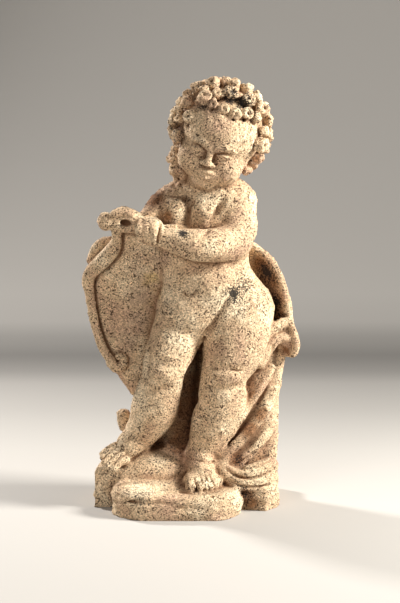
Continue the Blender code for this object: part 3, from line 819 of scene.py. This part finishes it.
# Heights in millimetres: swells and grain all over, pits where the skin is open, and
# hollows at the foot of the base.
open_skin = np.clip((0.62 - near_stone) / 0.2, 0.25, 1)
rough = 0.9 * lattice_noise(points, 0.034, 1) + 0.6 * lattice_noise(points, 0.013, 2)
rough += 0.55 * lattice_noise(points, 0.0062, 3) * open_skin
pit = lattice_noise(points, 0.0075, 4) + 0.6 * lattice_noise(points, 0.004, 5)
rough -= 2.0 * np.clip(pit - 0.62, 0, 0.5) / 0.5 * open_skin
low_down = np.clip((BASE_HEIGHT - 0.004 - points[:, 2]) / 0.012, 0, 1)
rough -= 4.5 * low_down * np.clip(lattice_noise(points * (1, 1, 3.5), 0.045, 6) + 0.2, 0, 1)
rough -= 2.6 * low_down * np.clip(lattice_noise(points * (1, 1, 2.5), 0.015, 7), 0, 1)
from_head = ((points - axis_foot) / MIL - np.array(HEAD)) @ np.array(HEAD_TURN)
in_hair = np.linalg.norm(from_head - np.array(HAIR_MIDDLE), axis=1) > 0.99 * min(HAIR_RADII)
in_hair &= ((from_head[:, 1] > -50) | (from_head[:, 2] > 64)) & (points[:, 2] > NECK_HEIGHT)
rough += 2.2 * in_hair * lattice_noise(points, 0.0065, 8)
sawn = points[:, 2] < 0.6 * STEP
points = points + normals * (MILLIMETRE * rough * ~sawn)[:, None]
points[sawn, 2] = 0
points = in_box(points, ROUGH_MARGIN)
mesh.vertices.foreach_set("co", points.astype(np.float32).ravel())
mesh.update()


def patches(spots):
    """How far each point lies within soft round patches, each with its strength if not 1."""
    total = np.zeros(len(points))
    for x, y, z, size, *strength in spots:
        middle = np.array((x, y, z)) * MIL + axis_foot
        nearness = np.exp(-((points - middle) ** 2).sum(axis=1) / (size * MIL) ** 2)
        total = np.maximum(total, (strength or [1])[0] * nearness)
    return total


LICHEN_SPOTS = (
    (98, -84, 950, 20, 1.2), (130, -80, 936, 22, 1.2), (150, -90, 905, 16, 0.6), (-15, -130, 622, 13, 1.2),
    (-26, -60, 852, 18, 0.8), (4, -76, 895, 14, 0.8), (34, -90, 925, 14, 0.8), (64, -60, 960, 16, 0.6),
    (-40, -30, 880, 18, 0.6), (106, -74, 474, 14, 1.2), (108, -72, 462, 32, 0.55), (134, -58, 494, 26, 0.6),
    (120, -66, 440, 26, 0.35), (196, 44, 515, 24, 1.2), (214, 40, 500, 16, 1.2), (210, 40, 436, 26, 1.0),
    (222, 30, 400, 18, 0.7), (120, -70, 56, 15, 0.6), (134, -110, -20, 22, 0.6), (-110, -190, -14, 26, 0.35),
    (-160, 40, 600, 40, 0.3), (60, 110, 700, 60, 0.3), (20, 100, 300, 70, 0.25), (-60, 60, 900, 60, 0.35))
# Painted shade on the shield's field: a greyer band down it near the body, where the body's and forearm's
# shadow falls.
GREY_SHADE_SPOTS = (
    (-128, -40, 570, 40), (-120, -30, 520, 44), (-124, -20, 460, 44), (-128, -12, 400, 46),
    (-84, -60, 560, 36), (-76, -64, 500, 36), (-78, -60, 440, 34), (-150, -10, 350, 40))
YELLOW_SPOTS = ((-98, -40, 500, 26), (-92, -40, 470, 24), (-100, -30, 440, 20))
# Patches of painted shade where shadow falls: the gap between the legs, the hollow by the hip, under the
# cloth's hanging corner, the cloth's folds, round the arms and the base's recesses.
PAINTED_SHADE_SPOTS = (
    (4, 10, 230, 44), (0, 10, 170, 50), (-6, 0, 110, 50), (-30, 0, 70, 44), (4, 0, 300, 40),
    (196, 44, 490, 40), (204, 44, 440, 42), (184, 50, 530, 34), (214, 30, 400, 30), (136, -108, -26, 26),
    (150, -100, -40, 22), (116, -70, 60, 20), (130, -90, 16, 16), (150, -60, 130, 26), (176, -50, 170, 26),
    (-66, -60, 640, 16), (-50, -56, 660, 16), (-80, -30, 700, 20), (236, -6, 318, 16), (-90, -30, 700, 26),
    (-60, 10, 40, 60), (0, -20, 30, 50))


def keep(name, values):
    made = mesh.attributes.new(name, "FLOAT", "POINT")
    made.data.foreach_set("value", np.asarray(values, np.float32))


# How much stone lies round each point, near and farther out: the colour darkens by these as painted shade,
# partly grime.
keep("hollow", np.clip((near_stone - 0.5) * 3, -1, 1))
keep("shelter", np.clip((far_stone - 0.5) * 3, -1, 1))
keep("lichen", patches(LICHEN_SPOTS))
keep("grey", patches(GREY_SHADE_SPOTS))
keep("yellow", patches(YELLOW_SPOTS))
keep("painted_shade", patches(PAINTED_SHADE_SPOTS))

lighter = piece.modifiers.new("fewer triangles", "DECIMATE")
lighter.ratio = min(1, PIECE_TRIANGLES / (2 * len(quads)))
graph = bpy.context.evaluated_depsgraph_get()
finished = bpy.data.meshes.new_from_object(piece.evaluated_get(graph))
piece.modifiers.clear()
piece.data = finished
bpy.data.meshes.remove(mesh)
places = np.empty(len(finished.vertices) * 3, np.float32)
finished.vertices.foreach_get("co", places)
places = in_box(places.reshape(-1, 3), FINISHED_MARGIN)
finished.vertices.foreach_set("co", places.astype(np.float32).ravel())
finished.name = "sandstone_putto"
finished.shade_smooth()
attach(piece, "root")
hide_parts("putto_statue")


# The stone's colour
# Cream, buff and pink in soft patches, with dark grains and pits and blackish lichen in a few places.
# Painted shade, partly grime, darkens the hollows and sheltered places; more painted shade lies in
# patches where shadow falls and as a grey band down the shield's field.

stone_material = bpy.data.materials.new("weathered sandstone")
stone_material.use_nodes = True
nodes = stone_material.node_tree.nodes
links = stone_material.node_tree.links
shader = nodes["Principled BSDF"]
shader.inputs["Roughness"].default_value = 0.93
shader.inputs["Specular IOR Level"].default_value = 0.25
object_place = nodes.new("ShaderNodeTexCoord").outputs["Object"]


def noise(scale, detail, roughness=0.55):
    made = nodes.new("ShaderNodeTexNoise")
    made.inputs["Scale"].default_value = scale
    made.inputs["Detail"].default_value = detail
    made.inputs["Roughness"].default_value = roughness
    links.new(object_place, made.inputs["Vector"])
    return made.outputs["Fac"]


def ramp(value, *stops):
    """A colour ramp through (position, colour or grey) stops."""
    made = nodes.new("ShaderNodeValToRGB")
    elements = made.color_ramp.elements
    while len(elements) < len(stops):
        elements.new(0.5)
    for element, (position, colour) in zip(elements, stops):
        element.position = position
        grey = isinstance(colour, (int, float))
        element.color = (colour, colour, colour, 1) if grey else (*colour, 1)
    links.new(value, made.inputs["Fac"])
    return made.outputs["Color"]


def feed(socket, value):
    """Links a socket to another one, or sets its colour or number."""
    if isinstance(value, bpy.types.NodeSocket):
        links.new(value, socket)
    elif isinstance(value, tuple):
        socket.default_value = (*value, 1)
    else:
        socket.default_value = value


def mix(kind, amount, first, second):
    made = nodes.new("ShaderNodeMix")
    made.data_type = "RGBA"
    made.blend_type = kind
    for name, value in (("Factor", amount), ("A", first), ("B", second)):
        feed(made.inputs[name], value)
    return made.outputs["Result"]


def sums(operation, first, second):
    made = nodes.new("ShaderNodeMath")
    made.operation = operation
    feed(made.inputs[0], first)
    feed(made.inputs[1], second)
    return made.outputs[0]


def cells(scale):
    """Three random values for each grain of the stone."""
    made = nodes.new("ShaderNodeTexVoronoi")
    made.inputs["Scale"].default_value = scale
    links.new(object_place, made.inputs["Vector"])
    parts = nodes.new("ShaderNodeSeparateColor")
    links.new(made.outputs["Color"], parts.inputs["Color"])
    return parts.outputs


def attribute(name):
    made = nodes.new("ShaderNodeAttribute")
    made.attribute_name = name
    return made.outputs["Fac"]


CREAM = (0.74, 0.58, 0.39)
BUFF = (0.61, 0.435, 0.27)
PINK = (0.52, 0.34, 0.22)
HOLLOW_DIRT_AND_SHADE = (0.16, 0.075, 0.035)
SPECK = (0.045, 0.020, 0.011)
LICHEN = (0.020, 0.017, 0.016)
GREY_SHADE = (0.32, 0.235, 0.18)
YELLOW_STAIN = (0.50, 0.35, 0.14)
SHELTER_DIRT_AND_SHADE = (0.60, 0.49, 0.41)
SHADE_PATCH_TONE = (0.46, 0.34, 0.27)

tone = ramp(noise(14, 4, 0.6), (0.34, PINK), (0.50, BUFF), (0.66, CREAM))
# Painted shade: a grey band down the shield's field. The yellow patch after it is the stone's own colour.
stain_and_shade = sums("MULTIPLY", attribute("grey"), noise(40, 3))
tone = mix("MIX", ramp(stain_and_shade, (0.15, 0.0), (0.55, 0.38)), tone, GREY_SHADE)
stain_and_shade = sums("MULTIPLY", attribute("yellow"), noise(55, 3))
tone = mix("MIX", ramp(stain_and_shade, (0.15, 0.0), (0.5, 0.8)), tone, YELLOW_STAIN)
# Painted shade, partly grime: sheltered places, such as the gap between the legs and the hollow by the hip,
# multiplied browner.
tone = mix("MULTIPLY", ramp(attribute("shelter"), (0.1, 0.0), (0.8, 1.0)), tone, SHELTER_DIRT_AND_SHADE)
# Painted shade: the patches of shadow above multiplied darker.
tone = mix("MULTIPLY", ramp(attribute("painted_shade"), (0.15, 0.0), (0.7, 1.0)), tone, SHADE_PATCH_TONE)
fine_grains = cells(540)
coarse_grains = cells(430)
grain = ramp(fine_grains["Red"], (0.0, 0.34), (0.25, 0.84), (0.7, 1.14), (1.0, 1.55))
tone = mix("MULTIPLY", 1.0, tone, grain)
grit = ramp(noise(520, 2, 0.7), (0.34, 0.70), (0.48, 1.0), (0.60, 1.15))
tone = mix("MULTIPLY", 1.0, tone, grit)
# Painted shade, partly grime: the hollows and creases darkened towards brown-black.
dirt_and_shade = sums("ADD", attribute("hollow"), sums("MULTIPLY", noise(60, 3), 0.5))
tone = mix("MIX", ramp(dirt_and_shade, (0.34, 0.0), (0.9, 0.9)), tone, HOLLOW_DIRT_AND_SHADE)
patchy = sums("MULTIPLY", noise(30, 4, 0.65), 0.5)
speck = sums("ADD", sums("MULTIPLY", coarse_grains["Green"], 0.65), patchy)
speck = ramp(speck, (0.825, 0.0), (0.84, 0.9))
tone = mix("MIX", speck, tone, SPECK)
growth = sums("MULTIPLY", attribute("lichen"), sums("ADD", noise(110, 3, 0.7), 0.5))
growth = sums("SUBTRACT", growth, sums("MULTIPLY", fine_grains["Blue"], 0.95))
tone = mix("MIX", ramp(growth, (0.02, 0.0), (0.10, 0.95)), tone, LICHEN)
links.new(tone, shader.inputs["Base Color"])

height = sums("ADD", sums("MULTIPLY", noise(420, 3, 0.7), 0.8), sums("MULTIPLY", noise(170, 3, 0.6), 0.9))
height = sums("SUBTRACT", height, sums("MULTIPLY", speck, 0.4))
bump = nodes.new("ShaderNodeBump")
bump.inputs["Strength"].default_value = 1.0
bump.inputs["Distance"].default_value = 0.0024
links.new(height, bump.inputs["Height"])
links.new(bump.outputs["Normal"], shader.inputs["Normal"])
finished.materials.clear()
finished.materials.append(stone_material)


# The studio
# A pale floor that turns up into a grey backdrop, its colour painted with shade: darker towards the
# back and darkest in a band where it starts to turn up. The warm key lamp is at the right, a soft
# fill at the left front and a small edge lamp behind on the left. The camera stands at the
# picture's place.

PICTURE_HEIGHT = 603
FOCAL_PIXELS = 1620
PITCH = 7.05
CAMERA = Vector((0.0198 + AXIS_X, -3.2 + AXIS_Y, 0.80))
FLOOR_HALF = 6.0
FLOOR_BACK = 1.6
TURN_RADIUS = 1.2
TURN_PARTS = 12
WALL_TOP = 6.0
LAMP_AIM = Vector((0, 0, 0.4))
FADE_DEPTH = 3.0
# The floor's grey with painted shade, by depth back in metres: darker towards the back, darkest where it
# starts to turn up.
FLOOR_SHADE_TONES = ((0.0, 0.435), (0.5, 0.37), (1.0, 0.275), (1.4, 0.23), (1.6, 0.165),
               (1.8, 0.115), (1.95, 0.16), (2.05, 0.22), (2.2, 0.24), (2.85, 0.22))


def backdrop():
    """A floor that curves up into a wall well behind the statue."""
    profile = [(-FLOOR_HALF, 0.0), (FLOOR_BACK, 0.0)]
    for i in range(1, TURN_PARTS + 1):
        turn = math.pi / 2 * i / TURN_PARTS
        profile.append((FLOOR_BACK + TURN_RADIUS * math.sin(turn),
                        TURN_RADIUS - TURN_RADIUS * math.cos(turn)))
    profile.append((FLOOR_BACK + TURN_RADIUS, WALL_TOP))
    verts = [(x, y, z) for y, z in profile for x in (-FLOOR_HALF, FLOOR_HALF)]
    faces = [(2 * i, 2 * i + 1, 2 * i + 3, 2 * i + 2) for i in range(len(profile) - 1)]
    mesh = bpy.data.meshes.new("studio_floor")
    mesh.from_pydata(verts, [], faces)
    mesh.shade_smooth()
    obj = bpy.data.objects.new("studio_floor", mesh)
    bpy.context.scene.collection.objects.link(obj)
    material = bpy.data.materials.new("pale floor")
    material.use_nodes = True
    tree = material.node_tree
    surface = tree.nodes["Principled BSDF"]
    surface.inputs["Roughness"].default_value = 0.8
    split = tree.nodes.new("ShaderNodeSeparateXYZ")
    fade = tree.nodes.new("ShaderNodeMapRange")
    fade.inputs["From Max"].default_value = FADE_DEPTH
    tones = tree.nodes.new("ShaderNodeValToRGB")
    elements = tones.color_ramp.elements
    while len(elements) < len(FLOOR_SHADE_TONES):
        elements.new(0.5)
    for element, (depth, grey) in zip(elements, FLOOR_SHADE_TONES):
        element.position = depth / FADE_DEPTH
        element.color = (grey, 0.945 * grey, 0.88 * grey, 1)
    tree.links.new(tree.nodes.new("ShaderNodeTexCoord").outputs["Object"], split.inputs[0])
    tree.links.new(split.outputs["Y"], fade.inputs["Value"])
    tree.links.new(fade.outputs["Result"], tones.inputs["Fac"])
    tree.links.new(tones.outputs["Color"], surface.inputs["Base Color"])
    mesh.materials.append(material)
    return obj


backdrop()


def lamp(name, place, power, size, colour):
    light = bpy.data.lights.new(name, "AREA")
    light.energy = power
    light.size = size
    light.color = colour
    obj = bpy.data.objects.new(name, light)
    bpy.context.scene.collection.objects.link(obj)
    obj.location = place
    obj.rotation_euler = (LAMP_AIM - Vector(place)).to_track_quat("-Z", "Y").to_euler()


lamp("key", (2.5, -0.45, 1.75), 212, 0.8, (1.0, 0.985, 0.94))
lamp("front fill", (-1.3, -2.6, 1.6), 27, 1.2, (1.0, 0.97, 0.93))
lamp("edge light", (-1.6, 1.35, 1.75), 92, 0.30, (1.0, 0.98, 0.95))
world = bpy.data.worlds.new("studio")
world.use_nodes = True
world.node_tree.nodes["Background"].inputs["Color"].default_value = (1.0, 0.98, 0.95, 1)
world.node_tree.nodes["Background"].inputs["Strength"].default_value = 0.17
bpy.context.scene.world = world
bpy.context.scene.view_settings.view_transform = "Standard"

camera = bpy.data.cameras.new("camera")
camera.sensor_fit = "VERTICAL"
camera.sensor_height = 24
camera.lens = FOCAL_PIXELS * camera.sensor_height / PICTURE_HEIGHT
viewpoint = bpy.data.objects.new("camera", camera)
bpy.context.scene.collection.objects.link(viewpoint)
viewpoint.location = CAMERA
viewpoint.rotation_euler = (math.radians(90 - PITCH), 0, 0)
bpy.context.scene.camera = viewpoint
